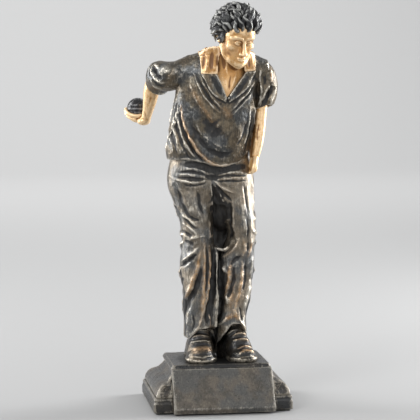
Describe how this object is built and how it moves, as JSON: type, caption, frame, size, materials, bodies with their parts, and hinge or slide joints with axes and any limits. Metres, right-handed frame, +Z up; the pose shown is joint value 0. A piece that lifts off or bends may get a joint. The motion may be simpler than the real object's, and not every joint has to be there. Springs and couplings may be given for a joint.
{
  "type": "bowling trophy",
  "caption": "Cast resin trophy of a boules player in a loose shirt and trousers, swinging a boule back, on a stepped plinth with a blank name panel.",
  "frame": {"origin": "centre of the plinth's underside, which is the felt's lower face", "axes": "+Z up, -Y the side the player and the name panel face, +X to the right of someone facing the trophy"},
  "size_m": [0.0912, 0.0781, 0.2404],
  "materials": {
    "clothing_resin": "cast resin painted dark antique bronze, ridges dry-brushed with gold and silver",
    "skin_resin": "cast resin painted pale gold, brown wash in the hollows",
    "hair_resin": "cast resin painted black, locks dry-brushed with silver",
    "shoe_resin": "cast resin painted black, laces and soles dry-brushed with gold and silver",
    "boule_resin": "cast resin painted gunmetal",
    "plinth_resin": "cast resin painted gunmetal, worn bronze on the moulding",
    "panel_resin": "fine sand-blasted texture, gunmetal",
    "felt": "thin self-adhesive felt",
    "steel": "bright zinc plated"
  },
  "bodies": {
    "root": {"felt_pad": "felt", "plinth_slab": "plinth_resin", "plinth_moulding": "plinth_resin", "plinth_cap": "plinth_resin", "name_panel": "panel_resin", "panel_pegs": "steel", "fixing_screws": "steel", "screw_washers": "steel", "right_shoe": "shoe_resin", "left_shoe": "shoe_resin", "trousers": "clothing_resin", "waist_dowels": "steel", "shirt": "clothing_resin", "right_sleeve": "clothing_resin", "left_sleeve": "clothing_resin", "right_shoulder_dowel": "steel", "left_shoulder_dowel": "steel", "collar": "skin_resin", "head": "skin_resin", "hair": "hair_resin", "neck_dowel": "steel", "right_arm": "skin_resin", "left_arm": "skin_resin", "right_arm_dowel": "steel", "left_arm_dowel": "steel", "boule": "boule_resin", "boule_pin": "steel"}
  },
  "joints": []
}
